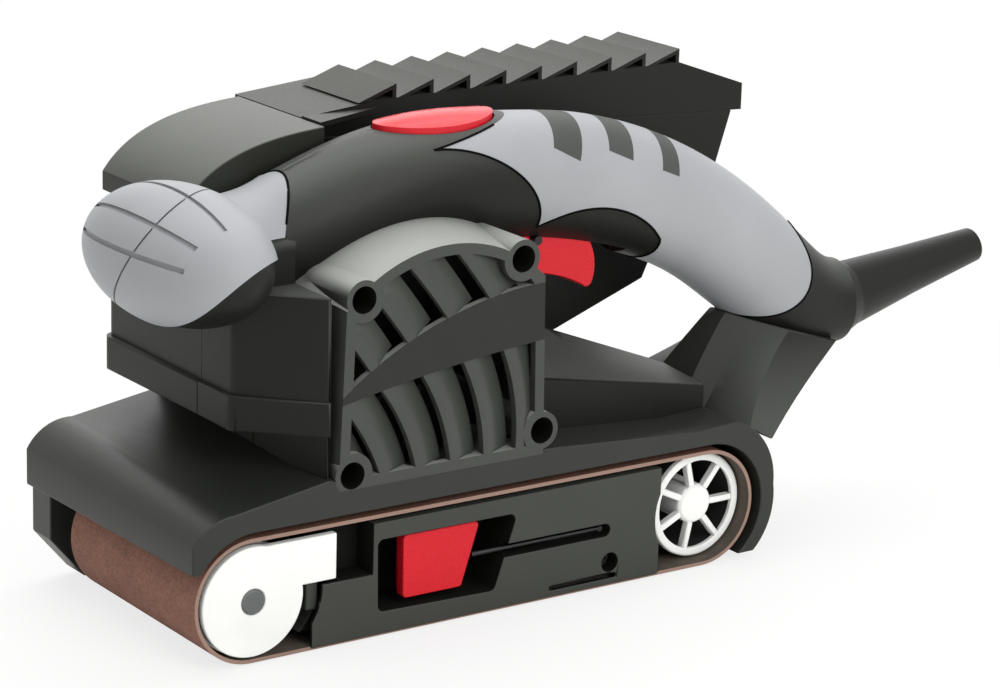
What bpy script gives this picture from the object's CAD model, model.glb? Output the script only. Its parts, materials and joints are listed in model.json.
import json
import math

import bmesh
import bpy
from mathutils import Matrix, Vector


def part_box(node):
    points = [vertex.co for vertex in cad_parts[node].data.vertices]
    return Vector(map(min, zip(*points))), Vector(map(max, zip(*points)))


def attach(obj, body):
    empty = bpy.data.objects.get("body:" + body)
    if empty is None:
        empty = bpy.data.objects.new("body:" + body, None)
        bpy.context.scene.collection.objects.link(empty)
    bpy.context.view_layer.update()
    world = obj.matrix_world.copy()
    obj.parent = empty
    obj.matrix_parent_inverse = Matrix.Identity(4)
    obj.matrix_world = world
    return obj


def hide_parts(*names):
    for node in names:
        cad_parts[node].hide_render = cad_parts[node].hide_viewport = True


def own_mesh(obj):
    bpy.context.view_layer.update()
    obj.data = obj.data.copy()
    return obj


bl_info = {
    "name": "Belt sander",
    "version": (1, 1, 0),
    "blender": (4, 5, 0),
    "location": "View3D > Sidebar > Belt sander",
    "description": "Finishes the belt sander's solids and adds screws, an abrasive belt and a studio",
    "category": "Object",
}

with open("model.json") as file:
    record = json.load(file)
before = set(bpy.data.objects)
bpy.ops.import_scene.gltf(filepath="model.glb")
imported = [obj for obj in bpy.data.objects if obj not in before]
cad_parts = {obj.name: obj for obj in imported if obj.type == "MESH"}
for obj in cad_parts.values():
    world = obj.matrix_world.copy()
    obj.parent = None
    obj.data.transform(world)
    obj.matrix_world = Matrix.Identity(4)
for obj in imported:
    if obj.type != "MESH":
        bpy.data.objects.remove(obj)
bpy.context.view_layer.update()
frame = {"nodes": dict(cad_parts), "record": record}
belt_low, belt_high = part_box("sanding_belt")
cover_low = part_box("motor_cover")[0]

MM = 0.001
QUARTER = math.radians(90)
MERGE = 1e-6  # points closer than this are one
SHARP = math.radians(32)  # faces that meet at more than this keep a sharp edge
FLAT = math.radians(0.3)  # faces that meet at less than this are joined
LONG_EDGE = 8 * MM  # shorter edges of the housing aren't rounded
SHORT_EDGE = 1.2 * MM  # shorter edges of the guard and the drive cover aren't rounded

GRAIN = 0.6 * MM  # one grain of a moulded surface
CLOUD = 30 * MM  # one cloud in the tone of a moulded surface
GRIT = 0.6 * MM  # from one grain of the belt to the next
GRIT_PATCH = 9 * MM  # one patch in the tone of the grit
NOISE = {"From Min": 0.3, "From Max": 0.7}  # where most values of a noise lie

# the band across the cover lies between two arcs, each a centre x, z and a radius
BAND_ARCS = (
    (22.06 * MM, -23.23 * MM, 127.27 * MM),
    (60.43 * MM, -468.3 * MM, 555.85 * MM),
)
BAND_DEPTH = 0.2 * MM  # the band ends this far behind the cover's face
BORE_PLAY = 0.6 * MM  # a face this close round a cover screw's head is in its tube
BORE_LIP = 0.4 * MM  # and at least this far behind the cover's face
POCKET_DEPTHS = (0.7 * MM, 25 * MM)  # of the belt frame's pockets behind its face
GAP_REACH = 0.2 * MM  # an edge of a grip this close to the housing borders on it

# how far each spring closes up at its joint's limit
SPRING_TRAVEL = {"tension_spring": 6 * MM, "trigger_spring": 2.6 * MM, "button_spring": 3 * MM}

HEAD_HEIGHT = 2.6 * MM
HEAD_TAPER = 0.82  # a screw head's top against its foot
SLOT_REACH = 1.1  # a cross slot's length against the head's radius
# node, way along Y that its heads look, shank radius
SCREWS = (
    ("cover_screws", -1, 2 * MM),
    ("frame_screw", -1, 1.6 * MM),
    ("housing_screws", 1, 2 * MM),
    ("drive_cover_screws", 1, 2 * MM),
)

FLOOR_SIZE = 6
FLOOR_DROP = 0.4 * MM  # keeps the floor clear of the belt's lower run
# metres from the middle between which the floor runs out into white, and its share of white there
FLOOR_FADE = {"From Min": 0.16, "From Max": 0.42, "To Min": 0.78, "To Max": 1.0}
WORLD_LIGHT = {"To Min": 0.5, "To Max": 1.0}  # strength as a light, and as seen directly or mirrored
# name, place, aim, width and depth in metres, watts
LAMPS = (
    ("overhead softbox", (0.1, 0.35, 1.1), (0, 0, 0.05), (1.3, 1.0), 11),
    ("back softbox", (0.95, 1.3, 0.75), (0, 0, 0.12), (1.6, 0.8), 4),
    ("front fill", (0.2, -1.25, 0.65), (0, 0, 0.06), (0.8, 0.8), 9),
)
SENSOR, LENS = 36, 119.0937  # sensor width and focal length in mm, solved from the photo
NEAREST = 0.01  # nothing closer to the camera is drawn


def linear(code):
    """Linear RGB of an sRGB hex colour."""
    channels = [int(code[i : i + 2], 16) / 255 for i in (1, 3, 5)]
    return tuple(c / 12.92 if c <= 0.04045 else ((c + 0.055) / 1.055) ** 2.4 for c in channels)


class SanderFinish(bpy.types.PropertyGroup):
    """Colours of the sander's materials."""

    housing: bpy.props.FloatVectorProperty(
        name="Housing", description="Charcoal of the moulded housing",
        subtype="COLOR", default=linear("#191a17"),
    )
    bridge: bpy.props.FloatVectorProperty(
        name="Housing top", description="Paler top of the housing",
        subtype="COLOR", default=linear("#474945"),
    )
    cover: bpy.props.FloatVectorProperty(
        name="Motor cover", description="Grey of the vented motor cover",
        subtype="COLOR", default=linear("#3d3f3b"),
    )
    crown: bpy.props.FloatVectorProperty(
        name="Cover crown", description="Pale top of the motor cover",
        subtype="COLOR", default=linear("#9fa19c"),
    )
    band: bpy.props.FloatVectorProperty(
        name="Cover band", description="Darker band across the vents",
        subtype="COLOR", default=linear("#171814"),
    )
    guard: bpy.props.FloatVectorProperty(
        name="Belt guard", description="Grey of the hood over the belt",
        subtype="COLOR", default=linear("#2c2e2a"),
    )
    duct: bpy.props.FloatVectorProperty(
        name="Dust duct", description="Grey of the dust duct's top",
        subtype="COLOR", default=linear("#5c5e59"),
    )
    duct_side: bpy.props.FloatVectorProperty(
        name="Duct sides", description="Darker sides of the dust duct",
        subtype="COLOR", default=linear("#23251f"),
    )
    dust_box: bpy.props.FloatVectorProperty(
        name="Dust box", description="Black of the dust box's sides",
        subtype="COLOR", default=linear("#10110e"),
    )
    lid: bpy.props.FloatVectorProperty(
        name="Dust box lid", description="Grey of the louvred top",
        subtype="COLOR", default=linear("#363831"),
    )
    grip: bpy.props.FloatVectorProperty(
        name="Soft grip", description="Light cool grey of the grips",
        subtype="COLOR", default=linear("#a3a5a8"),
    )
    insert: bpy.props.FloatVectorProperty(
        name="Grip inserts", description="Dark bars in the rear grip",
        subtype="COLOR", default=linear("#484b48"),
    )
    red: bpy.props.FloatVectorProperty(
        name="Controls", description="Red of button, trigger and lever",
        subtype="COLOR", default=linear("#d51a28"),
    )
    white: bpy.props.FloatVectorProperty(
        name="White nylon", description="White of yoke and drive wheel",
        subtype="COLOR", default=linear("#f8f9f6"),
    )
    casting: bpy.props.FloatVectorProperty(
        name="Belt frame", description="Dark coat of the castings",
        subtype="COLOR", default=linear("#3d3f3a"),
    )
    sleeve: bpy.props.FloatVectorProperty(
        name="Cable sleeve", description="Black of the bend guard",
        subtype="COLOR", default=linear("#141512"),
    )
    grit: bpy.props.FloatVectorProperty(
        name="Abrasive", description="Brown of the grit coat",
        subtype="COLOR", default=linear("#845b4b"),
    )
    cloth: bpy.props.FloatVectorProperty(
        name="Belt backing", description="Brown cloth inside the belt",
        subtype="COLOR", default=linear("#5c5249"),
    )


class SanderSizes(bpy.types.PropertyGroup):
    """Sizes of what the scene adds to the solids, and the camera."""

    edge: bpy.props.FloatProperty(
        name="Moulded edge", description="Radius on moulded edges",
        default=0.5 * MM, unit="LENGTH",
    )
    gap: bpy.props.FloatProperty(
        name="Shadow gap", description="Radius of the dark line round the grips",
        default=0.4 * MM, unit="LENGTH",
    )
    belt_thickness: bpy.props.FloatProperty(
        name="Belt thickness", description="Cloth and grit together",
        default=1.2 * MM, unit="LENGTH",
    )
    belt_bend: bpy.props.IntProperty(
        name="Belt bend", description="Steps in each quarter turn of the belt",
        default=24,
    )
    cross_width: bpy.props.FloatProperty(
        name="Cross slot", description="Width of the cross slots in a screw head",
        default=0.9 * MM, unit="LENGTH",
    )
    cross_depth: bpy.props.FloatProperty(
        name="Cross depth", description="Depth of the cross slots in a screw head",
        default=1.5 * MM, unit="LENGTH",
    )
    camera_azimuth: bpy.props.FloatProperty(
        name="Camera azimuth", description="Camera's turn about Z",
        default=math.radians(-35.506779988), subtype="ANGLE",
    )
    camera_elevation: bpy.props.FloatProperty(
        name="Camera elevation", description="Camera's angle above the floor",
        default=math.radians(15.884054717), subtype="ANGLE",
    )
    camera_roll: bpy.props.FloatProperty(
        name="Camera roll", description="Camera's turn about its view",
        default=math.radians(1.775382073), subtype="ANGLE",
    )
    camera_place: bpy.props.FloatVectorProperty(
        name="Camera place", description="Where the camera stands",
        default=(-0.55747439, -0.82183973, 0.35996201), subtype="TRANSLATION",
    )


def finish():
    """The sander's colours."""
    return bpy.context.scene.sander_finish


def sizes():
    """The sander's sizes."""
    return bpy.context.scene.sander_sizes


def wire(tree, node, inputs):
    """Set or link a node's inputs. A node stands for its first output here, and a list for many links."""
    for key, value in inputs.items():
        for source in value if isinstance(value, list) else [value]:
            if isinstance(source, bpy.types.Node):
                source = next(socket for socket in source.outputs if socket.enabled)
            if isinstance(source, bpy.types.NodeSocket):
                tree.links.new(source, node.inputs[key])
            else:
                node.inputs[key].default_value = source


def add_node(tree, kind, inputs=None, **settings):
    """Add a node with its settings, and set or link its inputs."""
    node = tree.nodes.new(kind)
    for key, value in settings.items():
        setattr(node, key, value)
    wire(tree, node, inputs or {})
    return node


def start_material(name):
    """A new material with a bare Principled shader. Returns material, tree and shader."""
    material = bpy.data.materials.new(name)
    material.use_nodes = True
    tree = material.node_tree
    return material, tree, tree.nodes["Principled BSDF"]


def moulded(name, colour, roughness, depth, grain=GRAIN, ior=1.5, shine=0.25, crown=None):
    """Moulded plastic or rubber: an even colour under a fine erosion grain that breaks up the gloss.
    grain is the size of one grain in metres, drawn coarser than the real one so that it shows. shine keeps
    the sides dark where the grain scatters their reflection, and leaves the gloss at a low angle. crown is
    the colour of faces that look up, which the photo shows paler than the lamps alone make them."""
    material, tree, shader = start_material(name)
    place = add_node(tree, "ShaderNodeTexCoord")
    spot = place.outputs["Object"]
    fine = add_node(tree, "ShaderNodeTexNoise", {"Vector": spot, "Scale": 1 / grain, "Detail": 2.0})
    cloud = add_node(tree, "ShaderNodeTexNoise", {"Vector": spot, "Scale": 1 / CLOUD, "Detail": 3.0})
    tone = add_node(
        tree, "ShaderNodeMapRange", {"Value": cloud, **NOISE, "To Min": 0.95, "To Max": 1.05}
    )
    gloss = add_node(
        tree, "ShaderNodeMapRange",
        {"Value": fine, **NOISE, "To Min": roughness - 0.04, "To Max": roughness + 0.04},
    )
    bump = add_node(tree, "ShaderNodeBump", {"Height": fine, "Strength": depth, "Distance": grain * 0.25})
    base = (*colour, 1)
    if crown:
        lean = add_node(tree, "ShaderNodeSeparateXYZ", {"Vector": place.outputs["Normal"]})
        upward = add_node(
            tree, "ShaderNodeMapRange", {"Value": lean.outputs["Z"], "From Min": 0.2, "From Max": 0.85},
            interpolation_type="SMOOTHSTEP",
        )
        base = add_node(
            tree, "ShaderNodeMix", {"Factor": upward, "A": base, "B": (*crown, 1)}, data_type="RGBA"
        )
    tint = add_node(
        tree, "ShaderNodeMix", {"Factor": 1.0, "A": base, "B": tone}, data_type="RGBA", blend_type="MULTIPLY"
    )
    wire(tree, shader, {"Base Color": tint, "Roughness": gloss, "Normal": bump})
    wire(tree, shader, {"IOR": ior, "Specular IOR Level": shine})
    return material


def metal(name, colour, roughness, scratch=2 * MM):
    """Bare metal: a tinted reflection with faint cloudy polish marks."""
    material, tree, shader = start_material(name)
    spot = add_node(tree, "ShaderNodeTexCoord").outputs["Object"]
    marks = add_node(tree, "ShaderNodeTexNoise", {"Vector": spot, "Scale": 1 / scratch, "Detail": 4.0})
    gloss = add_node(
        tree, "ShaderNodeMapRange",
        {"Value": marks, **NOISE, "To Min": roughness - 0.08, "To Max": roughness + 0.08},
    )
    wire(tree, shader, {"Base Color": (*colour, 1), "Metallic": 1.0, "Roughness": gloss})
    return material


def banded(material, colour, arcs, back_y):
    """Tint a moulded material darker in front of back_y, inside the first arc and outside the second."""
    tree = material.node_tree
    shader = tree.nodes["Principled BSDF"]
    base = shader.inputs["Base Color"].links[0].from_socket
    spot = add_node(tree, "ShaderNodeTexCoord").outputs["Object"]
    flat = add_node(tree, "ShaderNodeVectorMath", {0: spot, 1: (1, 0, 1)}, operation="MULTIPLY")
    depth = add_node(tree, "ShaderNodeSeparateXYZ", {"Vector": spot})
    mask = add_node(tree, "ShaderNodeMath", {0: depth.outputs["Y"], 1: back_y}, operation="LESS_THAN")
    for (centre_x, centre_z, radius), test in zip(arcs, ("LESS_THAN", "GREATER_THAN")):
        gap = add_node(
            tree, "ShaderNodeVectorMath", {0: flat, 1: (centre_x, 0, centre_z)}, operation="DISTANCE"
        )
        side = add_node(tree, "ShaderNodeMath", {0: gap, 1: radius}, operation=test)
        mask = add_node(tree, "ShaderNodeMath", {0: mask, 1: side}, operation="MULTIPLY")
    tint = add_node(tree, "ShaderNodeMix", {"Factor": mask, "A": base, "B": (*colour, 1)}, data_type="RGBA")
    wire(tree, shader, {"Base Color": tint})
    return material


def grit_coat(name, colour):
    """Aluminium oxide grit in resin: brown grains with bright and dark specks. Grains of about 0.3 mm are
    drawn further apart than they are so that they show."""
    material, tree, shader = start_material(name)
    spot = add_node(tree, "ShaderNodeTexCoord").outputs["Object"]
    grains = add_node(tree, "ShaderNodeTexVoronoi", {"Vector": spot, "Scale": 1 / GRIT})
    patch = add_node(tree, "ShaderNodeTexNoise", {"Vector": spot, "Scale": 1 / GRIT_PATCH, "Detail": 4.0})
    speck = add_node(
        tree, "ShaderNodeMapRange", {"Value": grains.outputs["Color"], "To Min": 0.7, "To Max": 1.25}
    )
    shade = add_node(tree, "ShaderNodeMapRange", {"Value": patch, **NOISE, "To Min": 0.9, "To Max": 1.1})
    both = add_node(tree, "ShaderNodeMath", {0: speck, 1: shade}, operation="MULTIPLY")
    tint = add_node(
        tree, "ShaderNodeMix", {"Factor": 1.0, "A": (*colour, 1), "B": both},
        data_type="RGBA", blend_type="MULTIPLY",
    )
    bump = add_node(
        tree, "ShaderNodeBump",
        {"Height": grains.outputs["Distance"], "Strength": 0.5, "Distance": 0.25 * MM},
    )
    wire(tree, shader, {"Base Color": tint, "Normal": bump, "Roughness": 0.85})
    return material


def woven(name, colour, thread):
    """Cloth: two sets of threads over and under each other, matt. thread is the spacing in metres, drawn
    much coarser than the real one so that it shows."""
    material, tree, shader = start_material(name)
    spot = add_node(tree, "ShaderNodeTexCoord").outputs["Object"]
    # a wave texture turns by 20 radians to a unit at a scale of 1
    threads = [
        add_node(
            tree, "ShaderNodeTexWave", {"Vector": spot, "Scale": math.tau / (20 * thread)},
            bands_direction=way,
        ).outputs["Fac"]
        for way in ("X", "Y")
    ]
    weave = add_node(tree, "ShaderNodeMath", {0: threads[0], 1: threads[1]}, operation="MULTIPLY")
    tone = add_node(tree, "ShaderNodeMapRange", {"Value": weave, "To Min": 0.88, "To Max": 1.06})
    tint = add_node(
        tree, "ShaderNodeMix", {"Factor": 1.0, "A": (*colour, 1), "B": tone},
        data_type="RGBA", blend_type="MULTIPLY",
    )
    bump = add_node(tree, "ShaderNodeBump", {"Height": weave, "Strength": 0.4, "Distance": thread / 25})
    wire(tree, shader, {"Base Color": tint, "Normal": bump, "Roughness": 0.9})
    return material


def body_of(node):
    """Name of the body that carries a CAD node."""
    for body, nodes in frame["record"]["behaviour"]["bodies"].items():
        if node in nodes:
            return body
    raise ValueError(f"{node} rides on no body")


def smoothed(mesh, flatten=False, shortest=0):
    """Merge a mesh's doubles and shade it smooth between its sharp edges. A flattened mesh has its flat faces
    joined, and its convex sharp edges longer than shortest marked for rounding."""
    work = bmesh.new()
    work.from_mesh(mesh)
    bmesh.ops.remove_doubles(work, verts=work.verts, dist=MERGE)
    bmesh.ops.dissolve_degenerate(work, dist=MERGE, edges=work.edges)
    if flatten:
        bmesh.ops.dissolve_limit(work, angle_limit=FLAT, verts=work.verts, edges=work.edges)
    for face in work.faces:
        face.smooth = True
    rounded = work.edges.layers.float.new("bevel_weight_edge") if flatten else None
    for line in work.edges:
        line.smooth = line.is_manifold and line.calc_face_angle(0) < SHARP
        if flatten and line.is_convex and not line.smooth and line.calc_length() > shortest:
            line[rounded] = 1
    work.to_mesh(mesh)
    work.free()


def settle(obj, node):
    """Put a finished piece in the place of a CAD node, on the node's body and in its material slot."""
    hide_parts(node)
    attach(obj, body_of(node))


def dressed(node, material, edge=0, shortest=0):
    """A copy of a CAD node with a finish and smooth shading, in place of the node. Its edges longer than
    shortest are rounded where edge gives a radius."""
    mesh = frame["nodes"][node].data.copy()
    obj = bpy.data.objects.new(f"{node}_skin", mesh)
    bpy.context.scene.collection.objects.link(obj)
    smoothed(mesh, edge > 0, shortest)
    mesh.materials.clear()
    mesh.materials.append(material)
    if edge > 0:
        bevel = obj.modifiers.new("moulded edge", "BEVEL")
        bevel.width = edge
        bevel.segments = 2
        bevel.limit_method = "WEIGHT"
        bevel.harden_normals = True
        bevel.use_clamp_overlap = False
    settle(obj, node)
    return obj


def lined(obj, material, inside):
    """Give a second finish to the faces of a piece whose centre passes a test."""
    obj.data.materials.append(material)
    for face in obj.data.polygons:
        if inside(face.center):
            face.material_index = 1


def sprung(obj, node):
    """Let a spring close up towards its fixed end as its joint moves to the limit."""
    for joint in frame["record"]["behaviour"]["joints"]:
        for spring in joint.get("deforming_nodes", []):
            if spring["node"] == node:
                way = spring["mode"][-1]
                axis = "xyz".index(way)
                anchor = Vector((0, 0, 0))
                anchor[axis] = spring[f"fixed_end_{way}_m"]
                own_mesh(obj)
                return
    raise ValueError(f"{node} follows no joint")


def start_tree(name, **sockets):
    """A new geometry tree, with the names of its inputs given by kind of socket. Returns the tree, its inputs
    and its output node."""
    tree = bpy.data.node_groups.new(name, "GeometryNodeTree")
    tree.interface.new_socket("Geometry", in_out="INPUT", socket_type="NodeSocketGeometry")
    for kind, names in sockets.items():
        for socket in names:
            tree.interface.new_socket(socket, in_out="INPUT", socket_type=f"NodeSocket{kind}")
    tree.interface.new_socket("Geometry", in_out="OUTPUT", socket_type="NodeSocketGeometry")
    return tree, tree.nodes.new("NodeGroupInput").outputs, tree.nodes.new("NodeGroupOutput")


def grown(name, tree, values, points=(), seed=None):
    """Run a geometry tree with the given inputs on a mesh or on some points, and return the result as a plain
    object."""
    if seed is None:
        seed = bpy.data.meshes.new(f"{name}_points")
        seed.from_pydata(points, [], [])
    source = bpy.data.objects.new(f"{name}_source", seed)
    bpy.context.scene.collection.objects.link(source)
    maker = source.modifiers.new(tree.name, "NODES")
    maker.node_group = tree
    for item in tree.interface.items_tree:
        if item.in_out == "INPUT" and item.name in values:
            maker[item.identifier] = values[item.name]
    graph = bpy.context.evaluated_depsgraph_get()
    mesh = bpy.data.meshes.new_from_object(source.evaluated_get(graph))
    source.modifiers.remove(maker)
    bpy.data.objects.remove(source)
    if not mesh.polygons:
        raise RuntimeError(f"{name} came out empty")
    obj = bpy.data.objects.new(name, mesh)
    bpy.context.scene.collection.objects.link(obj)
    return obj


def islands(node):
    """Low and high corner of each separate solid in a CAD node."""
    work = bmesh.new()
    work.from_mesh(frame["nodes"][node].data)
    bmesh.ops.remove_doubles(work, verts=work.verts, dist=MERGE)
    boxes = []
    waiting = set(work.verts)
    while waiting:
        group, queue = set(), [waiting.pop()]
        while queue:
            vertex = queue.pop()
            group.add(vertex)
            for line in vertex.link_edges:
                other = line.other_vert(vertex)
                if other in waiting:
                    waiting.remove(other)
                    queue.append(other)
        spread = [[vertex.co[axis] for vertex in group] for axis in range(3)]
        boxes.append((Vector(map(min, spread)), Vector(map(max, spread))))
    work.free()
    return sorted(boxes, key=lambda box: tuple(box[0]))


class SANDER_OT_housing(bpy.types.Operator):
    """Housing halves"""

    bl_idname = "sander.housing"
    bl_label = "Housing"

    def execute(self, context):
        # glass-filled nylon: near black, paler on top, with a satin gloss that turns pale at a low angle
        charcoal = moulded(
            "glass-filled nylon, moulded charcoal", finish().housing, 0.46, 0.14,
            shine=0.2, crown=finish().bridge,
        )
        for node in ("housing_left", "housing_right"):
            dressed(node, charcoal, sizes().edge, LONG_EDGE)
        return {"FINISHED"}


class SANDER_OT_motor_cover(bpy.types.Operator):
    """Vented motor cover with its darker band"""

    bl_idname = "sander.motor_cover"
    bl_label = "Motor cover"

    def execute(self, context):
        # ABS: dark grey face with a darker band, under a pale rounded top with a soft sheen
        grey = moulded(
            "ABS, moulded grey", finish().cover, 0.42, 0.14, shine=0.35, crown=finish().crown
        )
        face_y = cover_low.y
        cover = dressed("motor_cover", banded(grey, finish().band, BAND_ARCS, face_y + BAND_DEPTH))
        # ABS in the screw tubes: dull and dark, so that they read as deep holes
        dull = moulded("ABS, dull dark bore", finish().band, 0.7, 0.2, shine=0.1)
        heads = islands("cover_screws")
        axes = [((low + high) / 2).xz for low, high in heads]
        bore = max((high.x - low.x) / 2 for low, high in heads) + BORE_PLAY

        def in_bore(centre):
            nearest = min((centre.xz - axis).length for axis in axes)
            return nearest < bore and centre.y > face_y + BORE_LIP

        lined(cover, dull, in_bore)
        return {"FINISHED"}


class SANDER_OT_belt_guard(bpy.types.Operator):
    """Hood over the belt and the drive belt cover"""

    bl_idname = "sander.belt_guard"
    bl_label = "Belt guard"

    def execute(self, context):
        # ABS: dark grey and glossier than the housing, so that it mirrors the block above it
        grey = moulded("ABS, moulded dark grey", finish().guard, 0.38, 0.12, shine=0.3)
        for node in ("belt_guard", "drive_cover"):
            dressed(node, grey, sizes().edge, SHORT_EDGE)
        return {"FINISHED"}


def gap_tree():
    """A geometry tree that runs a thin bead along the sharp edges of a grip that touch the housing."""
    tree, size, end = start_tree(
        "shadow gap", Object=("Left half", "Right half"), Float=("Reach", "Radius"), Material=("Material",)
    )
    halves = [
        add_node(tree, "GeometryNodeObjectInfo", {"Object": size[half]}, transform_space="ORIGINAL")
        for half in ("Left half", "Right half")
    ]
    housing = add_node(
        tree, "GeometryNodeJoinGeometry", {"Geometry": [half.outputs["Geometry"] for half in halves]}
    )
    near = add_node(tree, "GeometryNodeProximity", {0: housing}, target_element="FACES")
    touching = add_node(
        tree, "ShaderNodeMath", {0: near.outputs["Distance"], 1: size["Reach"]}, operation="LESS_THAN"
    )
    smooth = add_node(tree, "GeometryNodeInputEdgeSmooth")
    sharp = add_node(tree, "FunctionNodeBooleanMath", {0: smooth}, operation="NOT")
    chosen = add_node(tree, "FunctionNodeBooleanMath", {0: touching, 1: sharp}, operation="AND")
    lines = add_node(tree, "GeometryNodeMeshToCurve", {"Mesh": size["Geometry"], "Selection": chosen})
    ring = add_node(
        tree, "GeometryNodeCurvePrimitiveCircle", {"Resolution": 6, "Radius": size["Radius"]}
    )
    bead = add_node(
        tree, "GeometryNodeCurveToMesh", {"Curve": lines, "Profile Curve": ring, "Fill Caps": True}
    )
    real = add_node(tree, "GeometryNodeRealizeInstances", {"Geometry": bead})
    tinted = add_node(tree, "GeometryNodeSetMaterial", {"Geometry": real, "Material": size["Material"]})
    wire(tree, end, {"Geometry": tinted})
    return tree


class SANDER_OT_grips(bpy.types.Operator):
    """Soft grips on the knob and the handle, with the dark inserts and the gaps round them"""

    bl_idname = "sander.grips"
    bl_label = "Soft grips"

    def execute(self, context):
        # thermoplastic rubber: matt, with a broad soft highlight
        soft = moulded("thermoplastic rubber, light grey", finish().grip, 0.5, 0.15, 0.5 * MM, 1.48)
        dark = moulded("thermoplastic rubber, dark grey", finish().insert, 0.55, 0.15, 0.5 * MM, 1.48)
        skins = {node: dressed(node, soft) for node in ("knob_grip", "handle_grip")}
        dressed("grip_inserts", dark)

        # nylon in the shade of the gap: dull black, so that the edge of the grip reads as a dark line
        shade = moulded("nylon, black in the gap", linear("#0b0b0a"), 0.9, 0.0, shine=0.05)
        tree = gap_tree()
        for node, skin in skins.items():
            gap = grown(
                f"{node}_gap",
                tree,
                {
                    "Left half": frame["nodes"]["housing_left"],
                    "Right half": frame["nodes"]["housing_right"],
                    "Reach": GAP_REACH, "Radius": sizes().gap, "Material": shade,
                },
                seed=skin.data,
            )
            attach(gap, body_of(node))
        return {"FINISHED"}


class SANDER_OT_controls(bpy.types.Operator):
    """Red lock button, trigger and tension lever"""

    bl_idname = "sander.controls"
    bl_label = "Controls"

    def execute(self, context):
        # ABS: saturated red with a clear gloss
        red = moulded("ABS, moulded red", finish().red, 0.28, 0.0, 0.8 * MM)
        for node in ("tension_lever", "trigger"):
            dressed(node, red, sizes().edge)
        dressed("lock_button", red)
        return {"FINISHED"}


def belt_tree():
    """A geometry tree that makes a flat belt round two rollers, with its own material outside, inside and on
    the cut edges."""
    tree, size, end = start_tree(
        "abrasive belt", Float=("Length", "Height", "Width", "Thickness"), Int=("Bend steps",),
        Vector=("Middle",), Material=("Grit", "Cloth", "Cut"),
    )
    twice = add_node(tree, "ShaderNodeMath", {0: size["Thickness"], 1: 2.0}, operation="MULTIPLY")
    outside = [size["Length"], size["Height"]]
    inside = [add_node(tree, "ShaderNodeMath", {0: span, 1: twice}, operation="SUBTRACT") for span in outside]
    loops = []
    for length, height in (outside, inside):
        oblong = add_node(
            tree, "GeometryNodeCurvePrimitiveQuadrilateral", {"Width": length, "Height": height}
        )
        # just under a half, so that the two bends of an end don't meet in one point
        radius = add_node(tree, "ShaderNodeMath", {0: height, 1: 0.4999}, operation="MULTIPLY")
        loop = add_node(
            tree, "GeometryNodeFilletCurve",
            {"Curve": oblong, "Count": size["Bend steps"], "Radius": radius, "Limit Radius": True},
            mode="POLY",
        )
        loops.append(loop)
    rings = add_node(tree, "GeometryNodeJoinGeometry", {"Geometry": loops})
    flank = add_node(tree, "GeometryNodeFillCurve", {"Curve": rings}, mode="TRIANGLES")
    reach = add_node(tree, "ShaderNodeCombineXYZ", {"Z": size["Width"]})
    band = add_node(
        tree, "GeometryNodeExtrudeMesh",
        {"Mesh": flank, "Offset": reach, "Offset Scale": 1.0, "Individual": False}, mode="FACES",
    )
    under = add_node(tree, "GeometryNodeFlipFaces", {"Mesh": flank})
    shell = add_node(tree, "GeometryNodeJoinGeometry", {"Geometry": [band, under]})
    closed = add_node(tree, "GeometryNodeMergeByDistance", {"Geometry": shell, "Distance": MERGE})
    stood = add_node(
        tree, "GeometryNodeTransform",
        {"Geometry": closed, "Translation": size["Middle"], "Rotation": (QUARTER, 0, 0)},
    )
    real = add_node(tree, "GeometryNodeRealizeInstances", {"Geometry": stood})

    # outer faces: further from the line between the axles than half a thickness under the surface
    point = add_node(tree, "GeometryNodeInputPosition")
    offset = add_node(tree, "ShaderNodeVectorMath", {0: point, 1: size["Middle"]}, operation="SUBTRACT")
    spot = add_node(tree, "ShaderNodeSeparateXYZ", {"Vector": offset}).outputs
    apart = add_node(tree, "ShaderNodeMath", {0: size["Length"], 1: size["Height"]}, operation="SUBTRACT")
    axle = add_node(tree, "ShaderNodeMath", {0: apart, 1: 0.5}, operation="MULTIPLY")
    along = add_node(tree, "ShaderNodeMath", {0: spot["X"]}, operation="ABSOLUTE")
    past = add_node(tree, "ShaderNodeMath", {0: along, 1: axle}, operation="SUBTRACT")
    beyond = add_node(tree, "ShaderNodeMath", {0: past, 1: 0.0}, operation="MAXIMUM")
    arm = add_node(tree, "ShaderNodeCombineXYZ", {"X": beyond, "Z": spot["Z"]})
    gap = add_node(tree, "ShaderNodeVectorMath", {0: arm}, operation="LENGTH")
    less = add_node(tree, "ShaderNodeMath", {0: size["Height"], 1: size["Thickness"]}, operation="SUBTRACT")
    middle = add_node(tree, "ShaderNodeMath", {0: less, 1: 0.5}, operation="MULTIPLY")
    rim = add_node(tree, "ShaderNodeMath", {0: gap, 1: middle}, operation="GREATER_THAN")
    # faces of the band: the cut edges are the ones that look along the axles
    normal = add_node(tree, "GeometryNodeInputNormal")
    facing = add_node(tree, "ShaderNodeSeparateXYZ", {"Vector": normal})
    level = add_node(tree, "ShaderNodeMath", {0: facing.outputs["Y"]}, operation="ABSOLUTE")
    wall = add_node(tree, "ShaderNodeMath", {0: level, 1: 0.5}, operation="LESS_THAN")
    outer = add_node(tree, "ShaderNodeMath", {0: rim, 1: wall}, operation="MULTIPLY")
    coat = add_node(tree, "GeometryNodeSetMaterial", {"Geometry": real, "Material": size["Cut"]})
    for faces, layer in ((wall, "Cloth"), (outer, "Grit")):
        coat = add_node(
            tree, "GeometryNodeSetMaterial", {"Geometry": coat, "Selection": faces, "Material": size[layer]}
        )
    wire(tree, end, {"Geometry": coat})
    return tree


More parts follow.
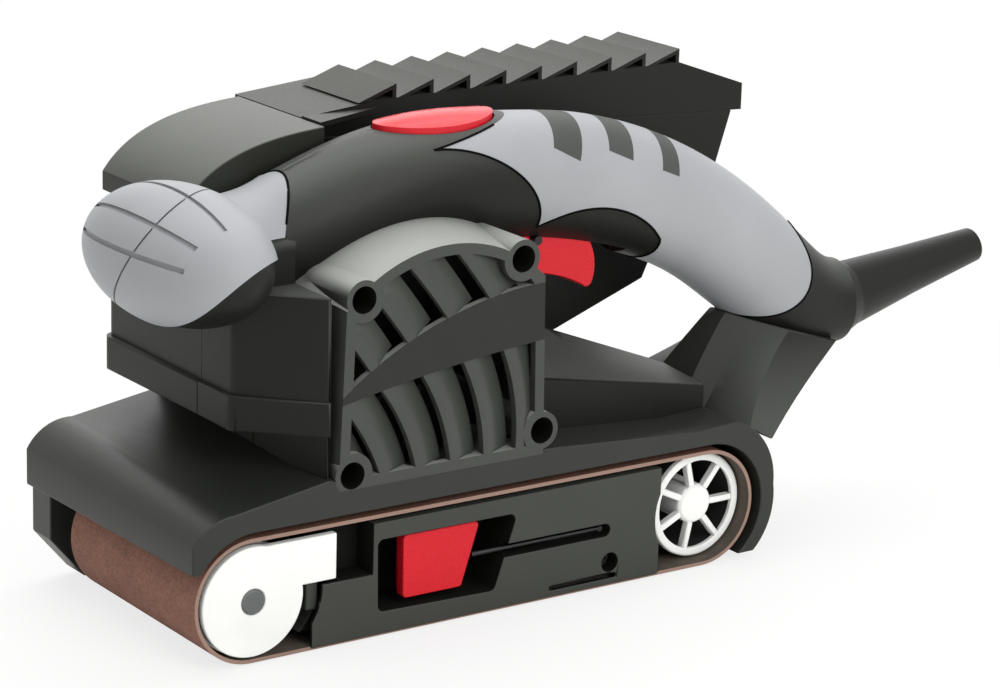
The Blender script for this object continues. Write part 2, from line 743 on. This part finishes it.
class SANDER_OT_abrasive_belt(bpy.types.Operator):
    """Abrasive belt: a band round both rollers, grit outside and cloth inside"""

    bl_idname = "sander.abrasive_belt"
    bl_label = "Abrasive belt"

    def execute(self, context):
        # grit in resin: a rough brown with specks of light and dark
        grit = grit_coat("aluminium oxide grit, brown", finish().grit)
        # cotton: a matt brown weave, seen inside the loop
        cloth = woven("cotton backing, woven", finish().cloth, 7.54 * MM)
        # cotton and resin cut through: a fuzzy tan line
        cut = moulded("cotton and resin, cut edge", linear("#9a7f72"), 0.85, 0.4, 0.5 * MM)
        span = belt_high - belt_low
        centre = (belt_low + belt_high) / 2
        belt = grown(
            "abrasive_belt",
            belt_tree(),
            {
                "Length": span.x, "Height": span.z, "Width": span.y,
                "Thickness": sizes().belt_thickness, "Bend steps": sizes().belt_bend,
                "Middle": (centre.x, belt_high.y, centre.z), "Grit": grit, "Cloth": cloth, "Cut": cut,
            },
        )
        smoothed(belt.data)
        settle(belt, "sanding_belt")
        return {"FINISHED"}


class SANDER_OT_belt_gear(bpy.types.Operator):
    """Belt frame, platen, tension gear and front roller"""

    bl_idname = "sander.belt_gear"
    bl_label = "Belt gear"

    def execute(self, context):
        # aluminium die casting under a dark coat: even and softly glossy
        casting = moulded("aluminium casting, dark coat", finish().casting, 0.42, 0.15)
        # nylon: bright white, slightly waxy
        white = moulded("nylon, moulded white", finish().white, 0.38, 0.08, 0.8 * MM)
        # cork under graphite: dark crumbs pressed together
        cork = moulded("cork, graphite coat", linear("#2d2a27"), 0.8, 0.5, 1.5 * MM)
        # steel: ground bright, drawn as black wire, or turned to a dull grey
        steel = metal("steel, ground", linear("#b9babb"), 0.3)
        dull = metal("steel, blackened wire", linear("#3b3c3c"), 0.4)
        axle = metal("steel, turned", linear("#707172"), 0.38)
        # aluminium: pale and softly mirrored
        alloy = metal("aluminium, turned", linear("#c9cacb"), 0.34)
        # bronze: brown gold, dulled by its pores
        bronze = metal("bronze, sintered", linear("#a5793f"), 0.5)
        pieces = {
            node: dressed(node, material, sizes().edge if material in (casting, white) else 0)
            for node, material in (
                ("belt_frame", casting),
                ("tension_carrier", casting),
                ("tension_yoke", white),
                ("platen_plate", steel),
                ("platen_pad", cork),
                ("idler_axle", axle),
                ("idler_roller", alloy),
                ("idler_bushes", bronze),
                ("tension_spring", steel),
                ("lever_spring", dull),
                ("lever_pin", steel),
            )
        }
        sprung(pieces["tension_spring"], "tension_spring")
        # the casting's pockets keep the black of the blast: matt, so that they read as deep
        black = moulded("aluminium casting, blasted black", linear("#141512"), 0.75, 0.2, shine=0.1)
        first, last = (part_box("belt_frame")[0].y + depth for depth in POCKET_DEPTHS)
        lined(pieces["belt_frame"], black, lambda centre: first < centre.y < last)
        return {"FINISHED"}


class SANDER_OT_drive(bpy.types.Operator):
    """Spoked drive roller, its shaft, pulleys, ribbed belt and bearings"""

    bl_idname = "sander.drive"
    bl_label = "Drive"

    def execute(self, context):
        # nylon: bright white, slightly waxy
        white = moulded("nylon, spoked wheel white", finish().white, 0.36, 0.08, 0.8 * MM)
        # rubber: black and matt
        tread = moulded("rubber, tread black", linear("#2a2b2a"), 0.65, 0.3)
        belt = moulded("rubber, ribbed belt black", linear("#1f2020"), 0.7, 0.3)
        # glass-filled nylon: black, satin
        pulley = moulded("glass-filled nylon, pulley black", linear("#262726"), 0.45, 0.2)
        # steel: ground bright
        steel = metal("steel, shaft ground", linear("#b4b5b6"), 0.28)
        for node, material in (
            ("drive_wheel", white),
            ("roller_tread", tread),
            ("drive_belt", belt),
            ("driven_pulley", pulley),
            ("motor_pulley", steel),
            ("drive_shaft", steel),
            ("roller_bearings", steel),
            ("motor_bearings", steel),
        ):
            dressed(node, material, sizes().edge if material == white else 0)
        return {"FINISHED"}


class SANDER_OT_motor(bpy.types.Operator):
    """Motor behind the vents: armature, fan, field, brushes and bearing plate"""

    bl_idname = "sander.motor"
    bl_label = "Motor"

    def execute(self, context):
        # glass-filled nylon: black, matt with dust
        black = moulded("glass-filled nylon, fan black", linear("#1c1d1c"), 0.6, 0.2, 0.8 * MM)
        # lamination steel: a grey stack, dull
        stack = metal("lamination steel, stacked", linear("#6f7072"), 0.5)
        # copper: dark orange under its enamel, with marks as fine as the wire
        copper = metal("copper, enamelled wire", linear("#a85f35"), 0.4, 0.8 * MM)
        # brass: muted yellow
        brass = metal("brass, folded", linear("#b08d4c"), 0.35)
        # steel: ground bright
        steel = metal("steel, motor shaft", linear("#b0b1b2"), 0.3)
        # carbon: black with a faint graphite sheen
        carbon = moulded("carbon, pressed", linear("#222224"), 0.55, 0.2, 0.5 * MM)
        for node, material in (
            ("motor_shaft", steel),
            ("armature_core", stack),
            ("armature_windings", copper),
            ("commutator", copper),
            ("cooling_fan", black),
            ("bearing_plate", black),
            ("field_core", stack),
            ("field_coils", copper),
            ("brush_holders", brass),
            ("carbon_brushes", carbon),
        ):
            dressed(node, material)
        return {"FINISHED"}


class SANDER_OT_switchgear(bpy.types.Operator):
    """Switch, trigger pin and springs in the handle, and the cable sleeve"""

    bl_idname = "sander.switchgear"
    bl_label = "Switch and sleeve"

    def execute(self, context):
        # phenolic: black, hard gloss
        switch = moulded("phenolic, switch black", linear("#232424"), 0.4, 0.1, 0.8 * MM)
        # PVC: soft black with a greasy sheen
        sleeve = moulded("PVC, soft black", finish().sleeve, 0.42, 0.15, 0.5 * MM)
        # steel: drawn wire, bright
        steel = metal("steel, spring wire", linear("#a3a4a5"), 0.32)
        for node, material in (
            ("switch_body", switch),
            ("trigger_pin", switch),
            ("trigger_spring", steel),
            ("button_spring", steel),
            ("cable_sleeve", sleeve),
        ):
            piece = dressed(node, material)
            if node in SPRING_TRAVEL:
                sprung(piece, node)
        return {"FINISHED"}


class SANDER_OT_dust_box(bpy.types.Operator):
    """Dust duct, dust box and its filter"""

    bl_idname = "sander.dust_box"
    bl_label = "Dust box"

    def execute(self, context):
        # ABS: black sides under a grey top, with a softer sheen than the guard; the duct is a shade paler
        box_grey = moulded("ABS, dust box grey", finish().dust_box, 0.46, 0.14, crown=finish().lid)
        duct_grey = moulded("ABS, duct grey", finish().duct_side, 0.46, 0.14, crown=finish().duct)
        # polyester felt: cream, matt
        felt = woven("polyester felt, cream", linear("#b9b4a4"), 6.28 * MM)
        dressed("dust_duct", duct_grey, sizes().edge)
        dressed("dust_box_body", box_grey, sizes().edge)
        dressed("dust_box_lid", box_grey)
        dressed("dust_filter", felt)
        return {"FINISHED"}


def screw_tree():
    """A geometry tree that sets cross-head screws on points: a tapered head with crossed slots, and a shank.
    The head's top is at the point, and the shank runs down Z."""
    tree, size, end = start_tree(
        "cross-head screw",
        Float=("Head radius", "Head height", "Shank radius", "Shank length", "Slot width", "Slot depth"),
        Vector=("Facing",), Material=("Material",),
    )
    crown = add_node(tree, "ShaderNodeMath", {0: size["Head radius"], 1: HEAD_TAPER}, operation="MULTIPLY")
    head = add_node(
        tree, "GeometryNodeMeshCone",
        {"Vertices": 28, "Radius Top": crown, "Radius Bottom": size["Head radius"],
         "Depth": size["Head height"]},
    )
    foot = add_node(tree, "ShaderNodeMath", {0: size["Head height"], 1: -1.0}, operation="MULTIPLY")
    drop = add_node(tree, "ShaderNodeCombineXYZ", {"Z": foot})
    seated = add_node(tree, "GeometryNodeTransform", {"Geometry": head, "Translation": drop})
    arm = add_node(tree, "ShaderNodeMath", {0: size["Head radius"], 1: SLOT_REACH}, operation="MULTIPLY")
    # a bar stands half above the head's top, so it is twice as high as the slot is deep
    sunk = add_node(tree, "ShaderNodeMath", {0: size["Slot depth"], 1: 2.0}, operation="MULTIPLY")
    bars = []
    for long_axis in ("X", "Y"):
        sides = {"X": size["Slot width"], "Y": size["Slot width"], "Z": sunk, long_axis: arm}
        shape = add_node(tree, "ShaderNodeCombineXYZ", sides)
        bars.append(add_node(tree, "GeometryNodeMeshCube", {"Size": shape}))
    cut = add_node(
        tree, "GeometryNodeMeshBoolean", {"Mesh 1": seated, "Mesh 2": bars},
        operation="DIFFERENCE", solver="EXACT",
    )
    shank = add_node(
        tree, "GeometryNodeMeshCylinder",
        {"Vertices": 16, "Radius": size["Shank radius"], "Depth": size["Shank length"]},
    )
    half = add_node(tree, "ShaderNodeMath", {0: size["Shank length"], 1: -0.5}, operation="MULTIPLY")
    low = add_node(tree, "ShaderNodeMath", {0: half, 1: size["Head height"]}, operation="SUBTRACT")
    below = add_node(tree, "ShaderNodeCombineXYZ", {"Z": low})
    hung = add_node(tree, "GeometryNodeTransform", {"Geometry": shank, "Translation": below})
    screw = add_node(tree, "GeometryNodeJoinGeometry", {"Geometry": [cut, hung]})
    placed = add_node(
        tree, "GeometryNodeInstanceOnPoints",
        {"Points": size["Geometry"], "Instance": screw, "Rotation": size["Facing"]},
    )
    real = add_node(tree, "GeometryNodeRealizeInstances", {"Geometry": placed})
    plated = add_node(tree, "GeometryNodeSetMaterial", {"Geometry": real, "Material": size["Material"]})
    wire(tree, end, {"Geometry": plated})
    return tree


class SANDER_OT_screws(bpy.types.Operator):
    """Cross-head screws of the cover, the housing, the drive cover and the frame"""

    bl_idname = "sander.screws"
    bl_label = "Screws"

    def execute(self, context):
        # steel under zinc gone dark: dull grey heads, deep in their recesses
        zinc = metal("steel, dark zinc plate", linear("#5c5d5c"), 0.42)
        tree = screw_tree()
        for node, facing, shank_radius in SCREWS:
            boxes = islands(node)
            groups = {}
            for low, high in boxes:
                length = round(high.y - low.y, 6)
                middle = (low + high) / 2
                tip = low.y if facing < 0 else high.y
                groups.setdefault(length, []).append((middle.x, tip, middle.z))
            radius = (boxes[0][1].x - boxes[0][0].x) / 2
            screws = [
                grown(
                    f"{node}_{round(length / MM)}",
                    tree,
                    {
                        "Head radius": radius, "Head height": HEAD_HEIGHT,
                        "Shank radius": shank_radius, "Shank length": length - HEAD_HEIGHT,
                        "Slot width": sizes().cross_width, "Slot depth": sizes().cross_depth,
                        "Facing": (-facing * QUARTER, 0, 0), "Material": zinc,
                    },
                    points,
                )
                for length, points in groups.items()
            ]
            if len(screws) > 1:
                with bpy.context.temp_override(active_object=screws[0], selected_editable_objects=screws):
                    bpy.ops.object.join()
            screws[0].name = f"{node}_cross_head"
            smoothed(screws[0].data)
            settle(screws[0], node)
        return {"FINISHED"}


class SANDER_OT_stage(bpy.types.Operator):
    """Pale floor, soft studio light and the camera"""

    bl_idname = "sander.stage"
    bl_label = "Studio"

    def execute(self, context):
        scene = context.scene
        scene.view_settings.view_transform = "Standard"

        # paper: matt white; the camera sees it run out into the white background away from the object
        paper, tree, shader = start_material("paper, matt white")
        wire(
            tree, shader,
            {"Base Color": (*linear("#f4f4f2"), 1), "Roughness": 0.9, "Specular IOR Level": 0.1},
        )
        camera_ray = add_node(tree, "ShaderNodeLightPath").outputs["Is Camera Ray"]
        spot = add_node(tree, "ShaderNodeTexCoord").outputs["Object"]
        away = add_node(tree, "ShaderNodeVectorMath", {0: spot}, operation="LENGTH")
        fade = add_node(
            tree, "ShaderNodeMapRange", {"Value": away, **FLOOR_FADE}, interpolation_type="SMOOTHSTEP"
        )
        seen = add_node(tree, "ShaderNodeMath", {0: camera_ray, 1: fade}, operation="MULTIPLY")
        white = add_node(tree, "ShaderNodeEmission", {"Color": (1, 1, 1, 1), "Strength": 1.0})
        mixed = add_node(tree, "ShaderNodeMixShader", {"Fac": seen, 1: shader, 2: white})
        wire(tree, tree.nodes["Material Output"], {"Surface": mixed})
        bpy.ops.mesh.primitive_plane_add(size=FLOOR_SIZE, location=(0, 0, -FLOOR_DROP))
        floor = context.active_object
        floor.name = "floor"
        floor.data.materials.append(paper)

        # the world is white to the camera and in reflections, and a dimmer light to the rest
        world = bpy.data.worlds.new("studio")
        world.use_nodes = True
        scene.world = world
        tree = world.node_tree
        tree.nodes.clear()
        rays = add_node(tree, "ShaderNodeLightPath").outputs
        shown = rays["Is Camera Ray"]
        for ray in ("Is Transmission Ray", "Is Glossy Ray"):
            shown = add_node(tree, "ShaderNodeMath", {0: shown, 1: rays[ray]}, operation="MAXIMUM")
        strength = add_node(tree, "ShaderNodeMapRange", {"Value": shown, **WORLD_LIGHT})
        light = add_node(tree, "ShaderNodeBackground", {"Color": (1, 1, 1, 1), "Strength": strength})
        add_node(tree, "ShaderNodeOutputWorld", {"Surface": light})

        for name, at, target, size, power in LAMPS:
            lamp = bpy.data.lights.new(name, "AREA")
            lamp.shape = "RECTANGLE"
            lamp.size, lamp.size_y = size
            lamp.energy = power
            obj = bpy.data.objects.new(name, lamp)
            scene.collection.objects.link(obj)
            obj.visible_camera = False
            obj.location = at
            obj.rotation_euler = (Vector(target) - Vector(at)).to_track_quat("-Z", "Y").to_euler()

        azimuth, elevation = sizes().camera_azimuth, sizes().camera_elevation
        level = math.cos(elevation)
        back = Vector((math.sin(azimuth) * level, -math.cos(azimuth) * level, math.sin(elevation)))
        right = Vector((math.cos(azimuth), math.sin(azimuth), 0))
        up = back.cross(right)
        turned = Matrix.Rotation(sizes().camera_roll, 3, back)
        axes = Matrix((turned @ right, turned @ up, back)).transposed()
        lens = bpy.data.cameras.new("photo camera")
        lens.sensor_width = SENSOR
        lens.lens = LENS
        lens.clip_start = NEAREST
        camera = bpy.data.objects.new("photo camera", lens)
        scene.collection.objects.link(camera)
        camera.matrix_world = Matrix.Translation(sizes().camera_place) @ axes.to_4x4()
        scene.camera = camera
        return {"FINISHED"}


OPERATORS = (
    SANDER_OT_housing,
    SANDER_OT_motor_cover,
    SANDER_OT_belt_guard,
    SANDER_OT_grips,
    SANDER_OT_controls,
    SANDER_OT_abrasive_belt,
    SANDER_OT_belt_gear,
    SANDER_OT_drive,
    SANDER_OT_motor,
    SANDER_OT_switchgear,
    SANDER_OT_dust_box,
    SANDER_OT_screws,
    SANDER_OT_stage,
)


class SANDER_PT_panel(bpy.types.Panel):
    """The sander's colours, sizes and steps"""

    bl_idname = "SANDER_PT_panel"
    bl_label = "Belt sander"
    bl_space_type = "VIEW_3D"
    bl_region_type = "UI"
    bl_category = "Belt sander"

    def draw(self, context):
        for group in (context.scene.sander_finish, context.scene.sander_sizes):
            for key in group.bl_rna.properties.keys():
                if key not in ("rna_type", "name"):
                    self.layout.prop(group, key)
        for operator in OPERATORS:
            self.layout.operator(operator.bl_idname)


CLASSES = (SanderFinish, SanderSizes, *OPERATORS, SANDER_PT_panel)


def register():
    for cls in CLASSES:
        bpy.utils.register_class(cls)
    bpy.types.Scene.sander_finish = bpy.props.PointerProperty(type=SanderFinish)
    bpy.types.Scene.sander_sizes = bpy.props.PointerProperty(type=SanderSizes)


def unregister():
    del bpy.types.Scene.sander_sizes
    del bpy.types.Scene.sander_finish
    for cls in reversed(CLASSES):
        bpy.utils.unregister_class(cls)


def main():
    register()
    bpy.ops.sander.housing()
    bpy.ops.sander.motor_cover()
    bpy.ops.sander.belt_guard()
    bpy.ops.sander.grips()
    bpy.ops.sander.controls()
    bpy.ops.sander.abrasive_belt()
    bpy.ops.sander.belt_gear()
    bpy.ops.sander.drive()
    bpy.ops.sander.motor()
    bpy.ops.sander.switchgear()
    bpy.ops.sander.dust_box()
    bpy.ops.sander.screws()
    bpy.ops.sander.stage()


if __name__ == "__main__":
    main()
